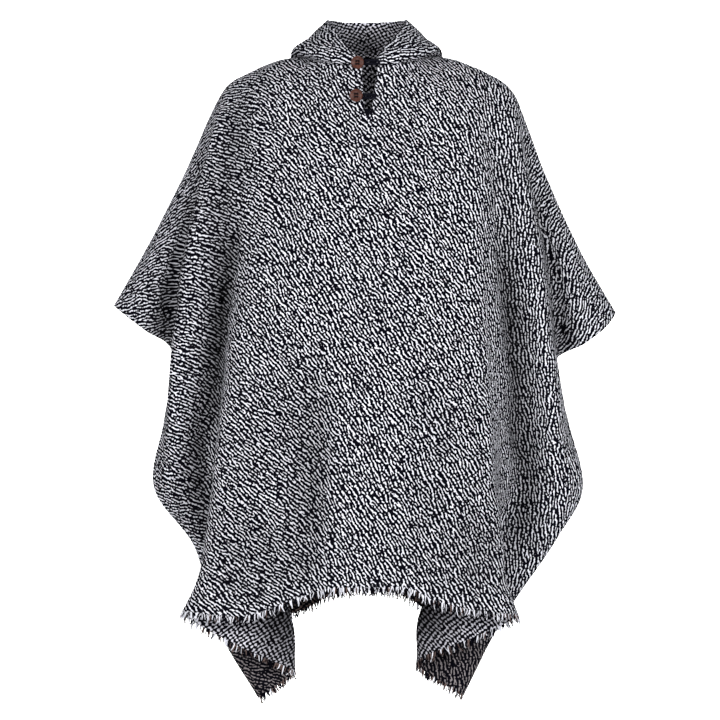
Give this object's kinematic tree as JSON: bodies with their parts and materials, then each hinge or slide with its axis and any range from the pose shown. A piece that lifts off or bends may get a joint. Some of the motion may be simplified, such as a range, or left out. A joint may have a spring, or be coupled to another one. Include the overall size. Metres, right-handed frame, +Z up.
{
  "type": "poncho",
  "caption": "Pull-on poncho with short wing sleeves, side folds, a hood lying back, a buttoned neck slit and fringed hems, hollow and filled out as worn.",
  "frame": {"origin": "between the shoulders, on the line of the shoulder seams, under the neck opening", "axes": "+Z up, X across the shoulders with +X to the right of the picture, the front faces -Y"},
  "size_m": [0.793, 0.3292, 1.0877],
  "materials": {
    "cloth": "thick slub twill, white on near-black",
    "fringe": "loose yarn ends, white and near-black",
    "shell": "turned brown shell, satin",
    "cord": "dark rolled cloth loop, matt"
  },
  "bodies": {
    "root": {"front_panel": "cloth", "back_panel": "cloth", "hood_left": "cloth", "hood_right": "cloth", "front_fringe": "fringe", "back_fringe": "fringe", "button_upper": "shell", "button_lower": "shell", "loop_upper": "cord", "loop_lower": "cord"}
  },
  "joints": []
}
